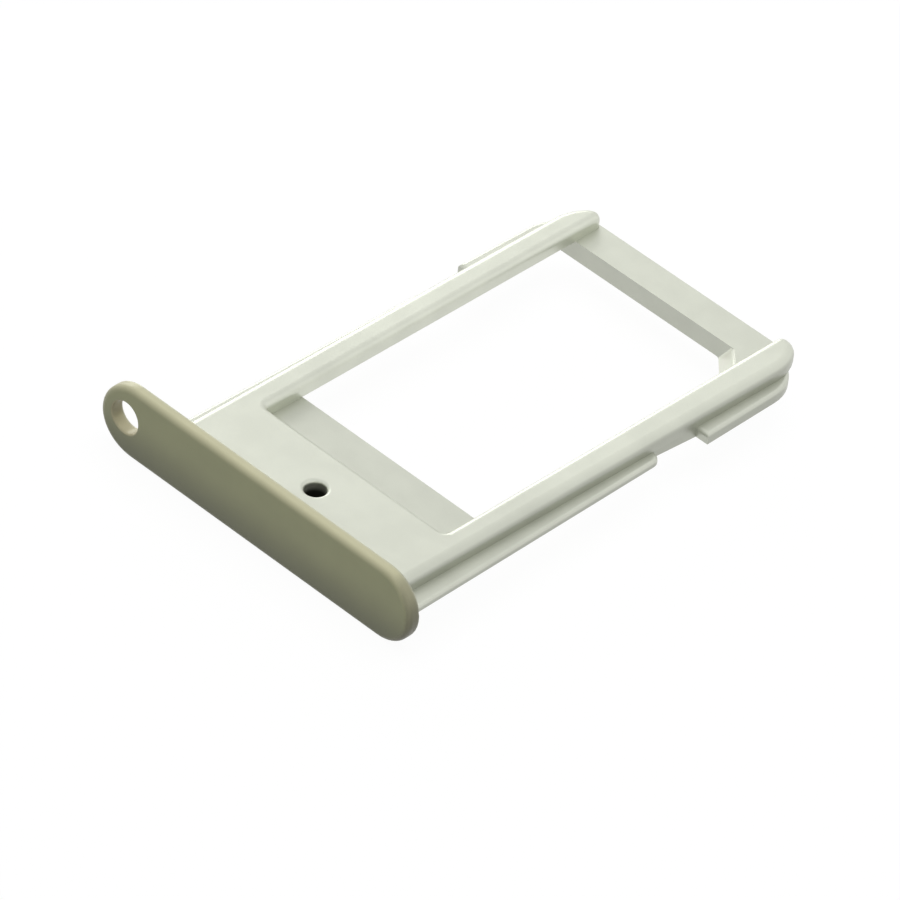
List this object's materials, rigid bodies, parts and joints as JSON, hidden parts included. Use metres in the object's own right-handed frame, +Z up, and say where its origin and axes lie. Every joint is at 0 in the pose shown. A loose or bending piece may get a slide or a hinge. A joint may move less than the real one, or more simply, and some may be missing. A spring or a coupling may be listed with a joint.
{
  "type": "sim card tray",
  "caption": "Metal tray for a nano SIM card: a rounded face plate with an eject pin hole, and an open stepped frame with round-topped rails, guide flanges and latch notches.",
  "frame": {"origin": "under the middle of the tray's bounding box, on the surface that it lies on", "axes": "+X along the face plate, away from its eject pin hole; +Y from the face plate into the phone; +Z up, with the rails' round tops facing up"},
  "size_m": [0.0138, 0.0186, 0.0027],
  "materials": {
    "anodised_metal": "satin"
  },
  "bodies": {
    "root": {"sim_tray": "anodised_metal"}
  },
  "joints": []
}
